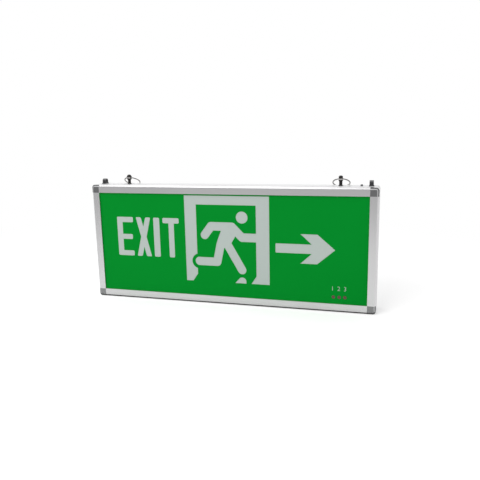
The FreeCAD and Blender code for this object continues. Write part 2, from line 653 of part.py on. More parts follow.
def reflector_pan():
    """Folded sheet pan with leaning walls, open to the front."""
    outside = Part.makeLoft([pan_outline(PAN_MOUTH_IN - PAN_SHEET, PAN_MOUTH_D),
                             pan_outline(PAN_FLOOR_IN - PAN_SHEET, PAN_BACK_D)], True, True)
    inside = Part.makeLoft([pan_outline(PAN_MOUTH_IN, PAN_MOUTH_D), pan_outline(PAN_FLOOR_IN, PAN_FLOOR_D)],
                           True, True)
    pan = outside.cut(inside)
    holes = [rod(x, PAN_FLOOR_D - PAST, PAN_BACK_D + PAST, z, SMALL_SCREW_R + SCREW_HOLE_GAP)
             for x, z in pan_screw_places()]
    return pan.cut(group(holes))


def light_strip(sign):
    return centred_box(0, PAN_FLOOR_D - BOARD_THICK, MID_Z + sign * STRIP_Z,
                       (WIDTH - 2 * STRIP_END_IN, BOARD_THICK, STRIP_WIDTH))


def led_chips():
    d0 = PAN_FLOOR_D - BOARD_THICK - LED_THICK
    first = -(LED_COUNT - 1) * LED_PITCH / 2
    return group([centred_box(first + i * LED_PITCH, d0, MID_Z + sign * STRIP_Z,
                              (LED_WIDTH, LED_THICK, LED_HEIGHT))
                  for sign in (-1, 1) for i in range(LED_COUNT)])


def indicator_middle():
    return INDICATOR_X + (INDICATOR_COUNT - 1) * INDICATOR_PITCH / 2


def indicator_board():
    return centred_box(indicator_middle(), PAN_FLOOR_D - BOARD_THICK, INDICATOR_Z,
                       (INDICATOR_BOARD_X, BOARD_THICK, INDICATOR_BOARD_Z))


def indicator_leds():
    d0 = PAN_FLOOR_D - BOARD_THICK - CHIP_THICK
    return group([centred_box(x, d0, INDICATOR_Z, (CHIP_SIZE, CHIP_THICK, CHIP_SIZE))
                  for x in indicator_places()])


def light_pipe():
    """Three clear rods joined by a bar, with a foot at each end of the bar."""
    foot_d = PAN_FLOOR_D - BOARD_THICK
    half = INDICATOR_BOARD_X / 2 - PIPE_FOOT_INSET
    middle = indicator_middle()
    solids = [rod(x, PANEL_D - FILM_THICK, foot_d - CHIP_THICK - CHIP_TO_PIPE, INDICATOR_Z, PIPE_R)
              for x in indicator_places()]
    solids.append(box(middle - half, middle + half, PIPE_BAR_D, PIPE_BAR_D + PIPE_BAR_THICK,
                      INDICATOR_Z - PIPE_BAR_HEIGHT / 2, INDICATOR_Z + PIPE_BAR_HEIGHT / 2))
    for s in (-1, 1):
        x = middle + s * (half - PIPE_FOOT / 2)
        solids.append(box(x - PIPE_FOOT / 2, x + PIPE_FOOT / 2, PIPE_BAR_D, foot_d,
                          INDICATOR_Z - PIPE_BAR_HEIGHT / 2, INDICATOR_Z + PIPE_BAR_HEIGHT / 2))
    return fused(solids)


# ================================================================ power unit
def driver_board():
    board = centred_box(POWER_BOARD_X, BOARD_D, MID_Z, (POWER_BOARD_LENGTH, POWER_BOARD_THICK, POWER_BOARD_WIDTH))
    holes = [rod(x, BOARD_D - PAST, CASE_FLOOR_D, z, SMALL_SCREW_R + SCREW_HOLE_GAP)
             for x, z in board_screw_places()]
    return board.cut(group(holes))


def transformer():
    """Wound bobbin inside a closed core."""
    size = TRANSFORMER
    x = POWER_BOARD_X + TRANSFORMER_X
    core = centred_box(x, BOARD_D - size[1], MID_Z, size)
    bobbin = centred_box(x, BOARD_D - size[1] + BOBBIN_SUNK, MID_Z,
                         (size[0] - 2 * CORE_OVERHANG, size[1] - BOBBIN_SUNK, size[2] + 2 * CORE_OVERHANG))
    return core.fuse(bobbin).removeSplitter()


def capacitors():
    """Two cans lying on the board."""
    cans = []
    for i in range(CAPACITOR_COUNT):
        x = POWER_BOARD_X + CAPACITOR_X + i * CAPACITOR_PITCH
        z0 = MID_Z - CAPACITOR_LENGTH / 2
        can = post(x, BOARD_D - CAPACITOR_R, z0, z0 + CAPACITOR_LENGTH, CAPACITOR_R)
        rims = [e for e in can.Edges if e.Curve.TypeId == "Part::GeomCircle"]
        cans.append(can.makeChamfer(CAPACITOR_CHAMFER, rims))
    return group(cans)


def terminal_block():
    size = TERMINAL
    x = POWER_BOARD_X + TERMINAL_X
    block = centred_box(x, BOARD_D - size[1], MID_Z, size)
    step = size[0] / TERMINAL_WAYS
    way_d = BOARD_D - TERMINAL_WAY_DEEP
    for i in range(TERMINAL_WAYS):
        px = x + (i - (TERMINAL_WAYS - 1) / 2) * step
        low = MID_Z - size[2] / 2
        block = block.cut(post(px, way_d, low, low + TERMINAL_WAY_LENGTH, TERMINAL_BORE_R))
        block = block.cut(rod(px, BOARD_D - size[1] - PAST, way_d, MID_Z, TERMINAL_BORE_R))
    return block


def relay():
    body = centred_box(POWER_BOARD_X + RELAY_X, BOARD_D - RELAY[1], MID_Z, RELAY)
    return body.makeFillet(RELAY_CORNER_R, [e for e in body.Edges if along(e, Y_AXIS)])


def board_screws():
    """Screws of the reflector pan and of the driver board."""
    solids = [pan_head_screw(x, PAN_FLOOR_D, z) for x, z in pan_screw_places()]
    for x, z in board_screw_places():
        screw = rod(x, BOARD_D - SMALL_HEAD, BOARD_D, z, SMALL_HEAD_R)
        solids.append(screw.fuse(rod(x, BOARD_D, CASE_FLOOR_D - SMALL_SCREW_SPARE, z, SMALL_SCREW_R)))
    return group(solids)


def battery_depth():
    """Depth of the cells' middle."""
    return CASE_FLOOR_D - BATTERY_GAP - CELL_R


def battery_pack():
    """Three round cells side by side in one shrink sleeve."""
    x0 = BATTERY_X - CELL_LENGTH / 2
    cells = []
    for i in range(CELL_COUNT):
        z = MID_Z + (i - (CELL_COUNT - 1) / 2) * 2 * CELL_R
        cells.append(Part.makeCylinder(CELL_R, CELL_LENGTH, V(x0, y_at(battery_depth()), z), X_AXIS))
    web = box(x0, x0 + CELL_LENGTH, battery_depth() - SLEEVE_WEB, battery_depth() + SLEEVE_WEB,
              MID_Z - (CELL_COUNT - 1) * CELL_R, MID_Z + (CELL_COUNT - 1) * CELL_R)
    return fused(cells + [web])


def battery_strap():
    """Sheet strap over the cells, with two feet on the back wall."""
    front = battery_depth() - CELL_R - STRAP_GAP
    inner = CELL_COUNT * CELL_R + STRAP_GAP
    outer = inner + STRAP_SHEET
    foot = outer + STRAP_FOOT
    outline = [(-foot, CASE_FLOOR_D), (-foot, CASE_FLOOR_D - STRAP_SHEET), (-outer, CASE_FLOOR_D - STRAP_SHEET),
               (-outer, front - STRAP_SHEET), (outer, front - STRAP_SHEET), (outer, CASE_FLOOR_D - STRAP_SHEET),
               (foot, CASE_FLOOR_D - STRAP_SHEET), (foot, CASE_FLOOR_D), (inner, CASE_FLOOR_D),
               (inner, front), (-inner, front), (-inner, CASE_FLOOR_D)]
    x0 = BATTERY_X - STRAP_WIDTH / 2
    return prism([V(x0, y_at(d), MID_Z + z) for z, d in outline], V(STRAP_WIDTH, 0, 0))


# ================================================================ hangers
def eye_stud(x):
    """Black stud: collar, shank, flattened ball with a cross hole, threaded tail."""
    top = HEIGHT + STUD_TOP
    eye_z = HEIGHT + EYE_HOLE_UP
    y = y_at(HANGER_D)
    shank = post(x, HANGER_D, HEIGHT, eye_z, STUD_R)
    collar = post(x, HANGER_D, HEIGHT, HEIGHT + STUD_COLLAR, STUD_COLLAR_R)
    head = Part.makeCylinder(EYE_R, 2 * EYE_HEAD_FLAT, V(x - EYE_HEAD_FLAT, y, eye_z), X_AXIS)
    cap = post(x, HANGER_D, eye_z, top, EYE_HEAD_FLAT)
    rim = [e for e in cap.Edges if e.Curve.TypeId == "Part::GeomCircle" and e.CenterOfMass.z > top - NEAR]
    cap = cap.makeChamfer(STUD_CROWN_CHAMFER, rim)
    tail = post(x, HANGER_D, HEIGHT - THREAD_LENGTH, HEIGHT, THREAD_R)
    stud = fused([shank, collar, head, cap, tail])
    hole_half = EYE_HEAD_FLAT + PAST
    hole = Part.makeCylinder(EYE_HOLE_R, 2 * hole_half, V(x - hole_half, y, eye_z), X_AXIS)
    return stud.cut(hole)


def ring_lean():
    """Angle below level at which a ring, lying back, meets the case's rear edge."""
    reach = DEPTH - HANGER_D
    rise = EYE_HOLE_UP
    stack = ring_stack() / 2 + RING_REST_GAP
    return math.degrees(math.atan2(rise, reach) - math.asin(stack / math.hypot(rise, reach)))


def ring_stack():
    """Thickness of all the turns together."""
    return RING_TURNS * RING_WIRE_THICK + (RING_TURNS - 1) * RING_TURN_GAP


def flat_band(r_in, z0, thick):
    """Flat ring of the split ring's outer radius, upwards from z0."""
    band = Part.makeCylinder(RING_OUTER_R, thick, V(0, 0, z0))
    return band.cut(Part.makeCylinder(r_in, thick, V(0, 0, z0)))


def split_ring(x):
    """Two flat turns joined by a crossing piece, leaning back on the case."""
    eye = V(x, y_at(HANGER_D), HEIGHT + EYE_HOLE_UP)
    r_in = RING_OUTER_R - RING_WIRE_WIDTH
    turns = []
    for i in range(RING_TURNS):
        z0 = -ring_stack() / 2 + i * (RING_WIRE_THICK + RING_TURN_GAP)
        turn = flat_band(r_in, z0, RING_WIRE_THICK)
        side = 1 if i % 2 else -1
        corner = V(side * RING_END_X - RING_END_GAP / 2, 0, z0)
        gap = Part.makeBox(RING_END_GAP, RING_OUTER_R, RING_WIRE_THICK, corner)
        turns.append(turn.cut(gap))
    link = Part.makeBox(RING_LINK, RING_OUTER_R, ring_stack(), V(-RING_LINK / 2, 0, -ring_stack() / 2))
    ring = fused(turns + [flat_band(r_in, -ring_stack() / 2, ring_stack()).common(link)])
    ring.translate(V(0, RING_MID_R, 0))
    ring.rotate(V(0, 0, 0), X_AXIS, -ring_lean())
    ring.translate(eye)
    return ring


def end_lug(x):
    """Hanging ear with a rounded top and a cross hole, screwed from inside."""
    half = LUG_DEPTH / 2
    arc_z = HEIGHT + LUG_UP - half
    ear = box(x - LUG_THICK / 2, x + LUG_THICK / 2, HANGER_D - half, HANGER_D + half, HEIGHT, arc_z)
    crown = Part.makeCylinder(half, LUG_THICK, V(x - LUG_THICK / 2, y_at(HANGER_D), arc_z), X_AXIS)
    crown = crown.common(box(x - LUG_THICK, x + LUG_THICK, HANGER_D - half, HANGER_D + half, arc_z, arc_z + half))
    rim = LUG_FOOT_RIM
    foot = box(x - LUG_THICK / 2 - rim, x + LUG_THICK / 2 + rim, HANGER_D - half - rim,
               HANGER_D + half + rim, HEIGHT, HEIGHT + LUG_FOOT)
    tail = post(x, HANGER_D, HEIGHT - THREAD_LENGTH, HEIGHT, THREAD_R)
    lug = fused([ear, crown, foot, tail])
    start = V(x - LUG_THICK / 2 - PAST, y_at(HANGER_D), arc_z)
    return lug.cut(Part.makeCylinder(LUG_BORE_R, LUG_THICK + 2 * PAST, start, X_AXIS))


def hanger_nuts():
    """One hexagon nut under the case wall for each stud and lug."""
    nuts = []
    r = NUT_FLATS / math.sqrt(3)
    top = HEIGHT - CASE_WALL
    for x in (-LUG_X, -EYE_X, EYE_X, LUG_X):
        points = [V(x + r * math.sin(math.radians(60 * k)), y_at(HANGER_D) + r * math.cos(math.radians(60 * k)),
                    top - NUT_THICK) for k in range(6)]
        nut = prism(points, V(0, 0, NUT_THICK))
        nuts.append(nut.cut(post(x, HANGER_D, top - NUT_THICK - PAST, top + PAST, THREAD_R)))
    return group(nuts)


# ================================================================ test button
def test_button():
    flange_top = HEIGHT - CASE_WALL - BUTTON_FLANGE_GAP
    flange_low = flange_top - BUTTON_FLANGE
    cap = post(BUTTON_X, HANGER_D, flange_low, HEIGHT + BUTTON_PROUD, BUTTON_R)
    rim = [e for e in cap.Edges if e.Curve.TypeId == "Part::GeomCircle"
           and e.CenterOfMass.z > HEIGHT + BUTTON_PROUD - NEAR]
    cap = cap.makeChamfer(BUTTON_CHAMFER, rim)
    flange = post(BUTTON_X, HANGER_D, flange_low, flange_top, BUTTON_FLANGE_R)
    stem = post(BUTTON_X, HANGER_D, flange_low - BUTTON_STEM, flange_low, BUTTON_STEM_R)
    return fused([cap, flange, stem])


def test_switch():
    _, board_top, body_top, plunger_top = switch_levels()
    half = SWITCH_SIZE / 2
    body = box(BUTTON_X - half, BUTTON_X + half, HANGER_D - half, HANGER_D + half, board_top, body_top)
    return body.fuse(post(BUTTON_X, HANGER_D, body_top, plunger_top, SWITCH_PLUNGER_R))


def switch_board():
    under, board_top, _, _ = switch_levels()
    half_x, half_y = SWITCH_BOARD_X / 2, SWITCH_SIZE / 2
    return box(BUTTON_X - half_x, BUTTON_X + half_x, HANGER_D - half_y, HANGER_D + half_y, under, board_top)


# ================================================================ all nodes
def build():
    nodes = frame_rails()
    for name, side, top in corners_of_sign():
        nodes["corner_" + name] = frame_corner(side, top)
    nodes["legend_film"] = legend_film()
    nodes["face_panel"] = face_panel()
    nodes["rear_case"] = rear_case()
    nodes["case_screws"] = case_screws()
    nodes["cable_grommet"] = grommet()
    nodes["reflector_pan"] = reflector_pan()
    nodes["light_strip_upper"] = light_strip(1)
    nodes["light_strip_lower"] = light_strip(-1)
    nodes["led_chips"] = led_chips()
    nodes["indicator_board"] = indicator_board()
    nodes["indicator_leds"] = indicator_leds()
    nodes["light_pipe"] = light_pipe()
    nodes["driver_board"] = driver_board()
    nodes["transformer"] = transformer()
    nodes["capacitors"] = capacitors()
    nodes["terminal_block"] = terminal_block()
    nodes["relay"] = relay()
    nodes["board_screws"] = board_screws()
    nodes["battery_pack"] = battery_pack()
    nodes["battery_strap"] = battery_strap()
    for name, sign in (("left", -1), ("right", 1)):
        nodes["eye_stud_" + name] = eye_stud(sign * EYE_X)
        nodes["split_ring_" + name] = split_ring(sign * EYE_X)
        nodes["end_lug_" + name] = end_lug(sign * LUG_X)
    nodes["hanger_nuts"] = hanger_nuts()
    nodes["test_button"] = test_button()
    nodes["test_switch"] = test_switch()
    nodes["switch_board"] = switch_board()
    return nodes


os.makedirs("parts", exist_ok=True)
for node_name, shape in build().items():
    if not shape.isValid():
        print("not valid:", node_name)
    shape.exportStep("parts/" + node_name + ".step")
    print("%-20s solids %2d faces %3d volume %9.1f mm3" % (
        node_name, len(shape.Solids), len(shape.Faces), shape.Volume))
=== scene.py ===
# %% [markdown]
# # A hanging exit sign, from bare solids to finished surfaces
# The solids come from the CAD model and never move here.  They are loaded first.  Everything
# is in metres: X to the viewer's right, Y away, Z up.

# %% Load the solids
import json
import math
import bpy
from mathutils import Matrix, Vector


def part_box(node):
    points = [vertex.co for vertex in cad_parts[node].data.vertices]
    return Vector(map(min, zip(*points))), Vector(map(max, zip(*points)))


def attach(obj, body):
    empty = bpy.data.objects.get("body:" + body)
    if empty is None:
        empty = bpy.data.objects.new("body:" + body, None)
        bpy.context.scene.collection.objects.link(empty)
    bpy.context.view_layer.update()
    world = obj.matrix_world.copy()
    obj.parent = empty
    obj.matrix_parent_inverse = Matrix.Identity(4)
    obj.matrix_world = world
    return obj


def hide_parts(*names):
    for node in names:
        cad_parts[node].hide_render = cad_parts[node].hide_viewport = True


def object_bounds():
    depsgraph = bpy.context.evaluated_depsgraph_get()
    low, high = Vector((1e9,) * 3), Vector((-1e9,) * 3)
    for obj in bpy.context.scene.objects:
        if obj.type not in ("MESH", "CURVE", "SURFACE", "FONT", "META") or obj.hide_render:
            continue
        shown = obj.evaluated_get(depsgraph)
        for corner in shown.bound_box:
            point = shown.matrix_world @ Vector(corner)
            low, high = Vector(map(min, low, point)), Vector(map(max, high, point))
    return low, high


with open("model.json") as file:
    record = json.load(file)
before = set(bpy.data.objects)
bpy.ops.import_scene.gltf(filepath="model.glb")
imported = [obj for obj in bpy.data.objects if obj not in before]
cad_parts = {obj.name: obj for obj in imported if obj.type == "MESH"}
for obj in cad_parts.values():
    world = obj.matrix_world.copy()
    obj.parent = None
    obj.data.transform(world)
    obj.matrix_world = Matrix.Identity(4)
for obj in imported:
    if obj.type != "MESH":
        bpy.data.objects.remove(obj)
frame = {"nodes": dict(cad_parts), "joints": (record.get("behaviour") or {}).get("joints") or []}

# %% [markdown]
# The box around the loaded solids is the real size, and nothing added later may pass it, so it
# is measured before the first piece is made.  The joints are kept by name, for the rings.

cad_box = [list(corner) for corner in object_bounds()]
FOOT_LEVEL = cad_box[0][2]
joints = {joint["name"]: joint for joint in frame["joints"]}
print("box in mm:", [[round(1000 * value, 1) for value in corner] for corner in cad_box])

# %% [markdown]
# ## Camera
# The sign is seen from its right, from a little above, through a short portrait lens.  A long
# lens would flatten the case, so the distance sets how fast the far end gets smaller.

# %% Set the camera
SENSOR_WIDTH, FOCAL_LENGTH = 36.0, 40.746
CAMERA_PLACE = (0.19823, -0.63487, 0.21519)
CAMERA_TURN = (78.423, 1.124, 16.000)
camera_data = bpy.data.cameras.new("portrait_lens")
camera_data.sensor_width = SENSOR_WIDTH
camera_data.lens = FOCAL_LENGTH
camera = bpy.data.objects.new("camera", camera_data)
camera.location = CAMERA_PLACE
camera.rotation_euler = [math.radians(angle) for angle in CAMERA_TURN]
bpy.context.scene.collection.objects.link(camera)
bpy.context.scene.camera = camera
print("camera stands", round(1000 * camera.location.length), "mm from the sign's foot")

# %% [markdown]
# ## Effects that several finishes share
# A moulded or drawn surface is never one flat colour.  Three small node groups give what the
# finishes need: a fine grain for the bump, which can be stretched into lines, broad soft
# patches for slight changes of colour and gloss, and a mask of bevels for a paler tone, part
# wear and part painted highlight.  Each material then sets its own values.
#
# A material is a tree of nodes and wires.  In the window they are placed and joined by hand.
# Here two helpers do it, so that each effect below reads as a list of its nodes and wires.

# %% Place a node, and join sockets
def set_input(node, name, value):
    """Sets one input of a node, whose name is given with _ for each space."""
    node.inputs[name.replace("_", " ")].default_value = value


def add_node(tree, kind, **values):
    """Places a node.  A name in small letters is a setting, and one with a capital an input."""
    node = tree.nodes.new("ShaderNode" + kind)
    for name, value in values.items():
        if name.islower():
            setattr(node, name, value)
        else:
            set_input(node, name, value)
    return node


def wire(tree, *wires):
    """Joins sockets: each wire is a node and its output, then a node and its input."""
    for start, output, end, entry in wires:
        tree.links.new(start.outputs[output], end.inputs[entry])


# %% Start an empty node group
def new_group(name, inputs, output):
    """Makes a group with inputs of a name, kind and value each, and one output, a number."""
    group = bpy.data.node_groups.new(name, "ShaderNodeTree")
    for label, kind, value in inputs:
        socket = group.interface.new_socket(label, in_out="INPUT", socket_type="NodeSocket" + kind)
        socket.default_value = value
    group.interface.new_socket(output, in_out="OUTPUT", socket_type="NodeSocketFloat")
    start = group.nodes.new("NodeGroupInput")
    end = group.nodes.new("NodeGroupOutput")
    return group, start, end


# %% [markdown]
# Grain shows in how it breaks up the light, much more than in its colour, so the first group
# gives a height for the bump.  Stretched a hundredfold along one axis, its dots become lines.

# %% Group one: fine grain, or drawn lines
fine_grain, grain_in, grain_out = new_group(
    "fine_grain", [("Stretch", "Vector", (1.0, 1.0, 1.0)), ("Scale", "Float", 900.0)], "Height")
place = add_node(fine_grain, "TexCoord")
stretch = add_node(fine_grain, "Mapping")
noise = add_node(fine_grain, "TexNoise", Detail=3.0)
wire(fine_grain,
     (place, "Object", stretch, "Vector"),
     (grain_in, "Stretch", stretch, "Scale"),
     (stretch, "Vector", noise, "Vector"),
     (grain_in, "Scale", noise, "Scale"),
     (noise, "Fac", grain_out, "Height"))
print("fine grain:", len(fine_grain.nodes), "nodes")

# %% [markdown]
# The patches are one slow noise.  A second, fast noise is cut off high up, which leaves only a
# few specks of it: those are the marks that hands and cloths leave.

# %% Group two: soft patches, with a few handling marks
soft_patches, patch_in, patch_out = new_group(
    "soft_patches", [("Scale", "Float", 14.0), ("Marks", "Float", 0.2)], "Mask")
place = add_node(soft_patches, "TexCoord")
cloud = add_node(soft_patches, "TexNoise", Detail=2.0)
specks = add_node(soft_patches, "TexNoise", Scale=420.0, Detail=4.0)
threshold = add_node(soft_patches, "MapRange", From_Min=0.60, From_Max=0.72)
weight = add_node(soft_patches, "Math", operation="MULTIPLY")
both = add_node(soft_patches, "Math", operation="ADD", use_clamp=True)
wire(soft_patches,
     (place, "Object", cloud, "Vector"),
     (place, "Object", specks, "Vector"),
     (patch_in, "Scale", cloud, "Scale"),
     (specks, "Fac", threshold, "Value"),
     (threshold, "Result", weight, 0),
     (patch_in, "Marks", weight, 1),
     (cloud, "Fac", both, 0),
     (weight, "Value", both, 1),
     (both, "Value", patch_out, "Mask"))
print("soft patches:", len(soft_patches.nodes), "nodes")

# %% [markdown]
# The bevels of a moulding get a paler tone, part wear from hands and from its neighbours in the
# box, part a painted highlight.  On boxy pieces a bevel is any face that looks along no axis, so
# its normal finds it.  A fine noise breaks up the mask, so that the painted line looks worn.

# %% Group three: bevels, for wear and a painted highlight
# Mask of bevels for a paler tone: part wear, part painted highlight.
bevel_wear_and_highlight, wear_highlight_in, wear_highlight_out = new_group(
    "bevel_wear_and_highlight", [("Breakup", "Float", 0.35)], "Mask")
shape = add_node(bevel_wear_and_highlight, "NewGeometry")
unsigned = add_node(bevel_wear_and_highlight, "VectorMath", operation="ABSOLUTE")
split = add_node(bevel_wear_and_highlight, "SeparateXYZ")
wider = add_node(bevel_wear_and_highlight, "Math", operation="MAXIMUM")
widest = add_node(bevel_wear_and_highlight, "Math", operation="MAXIMUM")
slope = add_node(bevel_wear_and_highlight, "MapRange", From_Min=0.93, From_Max=0.80)
place = add_node(bevel_wear_and_highlight, "TexCoord")
wear_highlight_noise = add_node(bevel_wear_and_highlight, "TexNoise", Scale=900.0)
gaps = add_node(bevel_wear_and_highlight, "Math", operation="MULTIPLY")
left_over = add_node(bevel_wear_and_highlight, "Math", operation="SUBTRACT", Value=1.0)
broken = add_node(bevel_wear_and_highlight, "Math", operation="MULTIPLY")
wire(bevel_wear_and_highlight,
     (shape, "True Normal", unsigned, 0),
     (unsigned, "Vector", split, "Vector"),
     (split, "X", wider, 0),
     (split, "Y", wider, 1),
     (wider, "Value", widest, 0),
     (split, "Z", widest, 1),
     (widest, "Value", slope, "Value"),
     (place, "Object", wear_highlight_noise, "Vector"),
     (wear_highlight_noise, "Fac", gaps, 0),
     (wear_highlight_in, "Breakup", gaps, 1),
     (gaps, "Value", left_over, 1),
     (slope, "Result", broken, 0),
     (left_over, "Value", broken, 1),
     (broken, "Value", wear_highlight_out, "Mask"))
print("rubbed bevels:", len(bevel_wear_and_highlight.nodes), "nodes")

# %% [markdown]
# ## One way to build a finish
# Every finish here mixes two near colours by the soft patches, lets the same patches move the
# gloss a little, and takes its bump from the fine grain.  Values that are the same all over,
# such as metal or coat, stay on the shader.

# %% Build a finish
BUMP_STRENGTH = 0.6


def make_finish(name, colour, other, gloss=(0.35, 0.5), grain=900.0, depth=0.00002,
                stretch_by=(1.0, 1.0, 1.0), patches=14.0, marks=0.15, **fixed):
    """Gloss is the range of roughness.  What fixed holds goes straight to the shader."""
    material = bpy.data.materials.new(name)
    material.use_nodes = True
    tree = material.node_tree
    shader = tree.nodes["Principled BSDF"]
    patch = add_node(tree, "Group", node_tree=soft_patches, Scale=patches, Marks=marks)
    tint = add_node(tree, "Mix", data_type="RGBA", A=(*colour, 1.0), B=(*other, 1.0))
    shine = add_node(tree, "MapRange", To_Min=gloss[0], To_Max=gloss[1])
    texture = add_node(tree, "Group", node_tree=fine_grain, Scale=grain, Stretch=stretch_by)
    bump = add_node(tree, "Bump", Strength=BUMP_STRENGTH, Distance=depth)
    wire(tree,
         (patch, "Mask", tint, "Factor"),
         (tint, "Result", shader, "Base Color"),
         (patch, "Mask", shine, "Value"),
         (shine, "Result", shader, "Roughness"),
         (texture, "Height", bump, "Height"),
         (bump, "Normal", shader, "Normal"))
    for label, value in fixed.items():
        set_input(shader, label, value)
    return material


# %% [markdown]
# Wear and painted highlights come as a second tone over the first.  A colour mix is slipped in
# between the finished colour and the shader, and a mask says where the second tone shows.

# %% Lay a second tone over a finish, where a mask says so
def lay_over(material, mask_node, output, colour):
    """Mixes a colour over the base colour, by an output of a node in the same material."""
    tree = material.node_tree
    shader = tree.nodes["Principled BSDF"]
    under = shader.inputs["Base Color"].links[0].from_node
    mix = add_node(tree, "Mix", data_type="RGBA", B=(*colour, 1.0))
    wire(tree,
         (mask_node, output, mix, "Factor"),
         (under, "Result", mix, "A"),
         (mix, "Result", shader, "Base Color"))


# Lays the paler bevel tone: part wear, part painted highlight.
def lay_bevel_highlight_and_wear(material, colour, breakup):
    group = add_node(material.node_tree, "Group", node_tree=bevel_wear_and_highlight, Breakup=breakup)
    lay_over(material, group, "Mask", colour)


# %% [markdown]
# ## Metals
# The rails are satin anodised aluminium, drawn through a die, so their grain is a bundle of
# long lines.  The lines follow each rail, which takes one finish for the level rails and one
# for the upright ones.  The rings are nickel plated, the screws have dull zinc, and the studs
# are steel with a black finish.

# %% Drawn rails
RAIL_TONE = ((0.665, 0.660, 0.668), (0.625, 0.620, 0.628))
ALONG, ACROSS = 25.0, 2600.0


def drawn_rail(name, stretch_by):
    return make_finish(name, *RAIL_TONE, gloss=(0.34, 0.44), grain=1.0, depth=0.000012,
                       stretch_by=stretch_by, Metallic=1.0)


level_rail = drawn_rail("anodised_level", (ALONG, ACROSS, ACROSS))
upright_rail = drawn_rail("anodised_upright", (ACROSS, ACROSS, ALONG))
print("lines across a millimetre of rail, about:", ACROSS / 1000)

# %% Plated, coated and blackened metal
nickel = make_finish("nickel_plate", (0.34, 0.33, 0.32), (0.26, 0.25, 0.245),
                     gloss=(0.10, 0.20), grain=700.0, depth=0.000006, patches=180.0,
                     Metallic=1.0)
zinc = make_finish("zinc_plate", (0.58, 0.58, 0.60), (0.46, 0.46, 0.47),
                   gloss=(0.28, 0.46), grain=1500.0, depth=0.00001, patches=260.0, marks=0.4,
                   Metallic=1.0)
coated_sheet = make_finish("white_coated_sheet", (0.84, 0.84, 0.84), (0.78, 0.78, 0.79),
                           gloss=(0.5, 0.62))
black_oxide = make_finish("black_oxide", (0.014, 0.012, 0.012), (0.030, 0.027, 0.026),
                          gloss=(0.22, 0.36), grain=1300.0, depth=0.000012, patches=240.0,
                          marks=0.5, Specular_IOR_Level=0.18)
metals = (level_rail, upright_rail, nickel, zinc, coated_sheet, black_oxide)
print("metal finishes:", [metal.name for metal in metals])

# %% [markdown]
# ## Plastics and print
# The case is white and slightly grained, the corners and lugs are dark grey.  The legend is ink
# on a thin film, smooth and a little glossy, over an opal sheet that scatters light.

# %% Print and opal sheet
green_ink = make_finish("green_ink", (0.0008, 0.272, 0.026), (0.0004, 0.248, 0.021),
                        gloss=(0.52, 0.62), grain=2400.0, depth=0.000004, patches=9.0,
                        marks=0.05, Specular_IOR_Level=0.03)
opal = make_finish("opal_sheet", (0.500, 0.560, 0.530), (0.470, 0.530, 0.505),
                   gloss=(0.42, 0.50), grain=1800.0, depth=0.000004, patches=20.0,
                   marks=0.05, Specular_IOR_Level=0.2)
print("legend finishes:", [finish.name for finish in (green_ink, opal)])

# %% [markdown]
# The corners have a metallic grey finish, so some metal is mixed in under a clear coat.  The
# case, the lugs and the button are plain plastic, which a fine grain keeps from looking waxed.

# %% Visible plastics
white_case = make_finish("white_moulding", (0.80, 0.80, 0.81), (0.75, 0.75, 0.76),
                         gloss=(0.30, 0.42), grain=1500.0, depth=0.00002)
corner_grey = make_finish("corner_moulding", (0.165, 0.167, 0.171), (0.130, 0.132, 0.135),
                          gloss=(0.24, 0.34), grain=1900.0, depth=0.00001, patches=90.0,
                          marks=0.3, Metallic=0.45, Coat_Weight=1.0, Coat_Roughness=0.16,
                          Coat_IOR=1.8)
lug_grey = make_finish("lug_moulding", (0.040, 0.040, 0.043), (0.026, 0.026, 0.028),
                       gloss=(0.24, 0.36), grain=1700.0, depth=0.00002, patches=120.0,
                       marks=0.3)
button_grey = make_finish("button_moulding", (0.080, 0.080, 0.085), (0.055, 0.055, 0.060),
                          gloss=(0.22, 0.34), grain=1700.0, depth=0.00001, patches=160.0)
rubber = make_finish("grommet_rubber", (0.018, 0.018, 0.019), (0.030, 0.030, 0.030),
                     gloss=(0.58, 0.75), grain=1400.0, depth=0.00004, patches=110.0, marks=0.5)
smoked_red = make_finish("smoked_red", (0.120, 0.062, 0.040), (0.085, 0.042, 0.028),
                         gloss=(0.3, 0.4), grain=900.0, depth=0.000004, patches=200.0)
print("materials so far:", len(bpy.data.materials))

# %% [markdown]
# The pieces inside show only when the case is taken apart.  They get the finish of real ones
# all the same: green boards, yellow light chips, black and green mouldings, and dark sleeves.

# %% Plastics of the inner parts
solder_mask = make_finish("solder_mask", (0.030, 0.170, 0.075), (0.020, 0.110, 0.050),
                          gloss=(0.26, 0.36), grain=500.0, depth=0.00002, patches=240.0,
                          marks=0.5)
phosphor = make_finish("phosphor", (0.88, 0.80, 0.50), (0.82, 0.72, 0.42),
                       gloss=(0.3, 0.4), patches=300.0)
ferrite = make_finish("ferrite_and_tape", (0.055, 0.055, 0.060), (0.085, 0.080, 0.070),
                      gloss=(0.5, 0.7))
can_sleeve = make_finish("can_sleeve", (0.060, 0.060, 0.085), (0.045, 0.045, 0.070),
                         gloss=(0.2, 0.3))
terminal_green = make_finish("terminal_moulding", (0.050, 0.290, 0.120),
                             (0.040, 0.240, 0.100), gloss=(0.35, 0.5))
relay_black = make_finish("relay_moulding", (0.025, 0.025, 0.028), (0.040, 0.040, 0.044),
                          gloss=(0.25, 0.4))
battery_sleeve = make_finish("battery_sleeve", (0.060, 0.150, 0.350), (0.045, 0.120, 0.290),
                             gloss=(0.2, 0.32))
print("materials so far:", len(bpy.data.materials))

# %% [markdown]
# The three dark mouldings are the pieces that hands touch, so their bevels are worn, and the
# same paler tone paints a highlight along them.  The corners stand out furthest and are palest.

# %% Paint wear and a highlight on the bevels of the mouldings
# The paler bevel tones below are part wear and part painted highlight; on the corners they paint a
# bright line.
BEVEL_BREAKUP = 0.35
worn_highlight_tones = [(corner_grey, (0.46, 0.46, 0.47)), (lug_grey, (0.12, 0.12, 0.125)),
                (button_grey, (0.16, 0.16, 0.17))]
for moulding, tone in worn_highlight_tones:
    lay_bevel_highlight_and_wear(moulding, tone, BEVEL_BREAKUP)
    print("rubbed:", moulding.name)
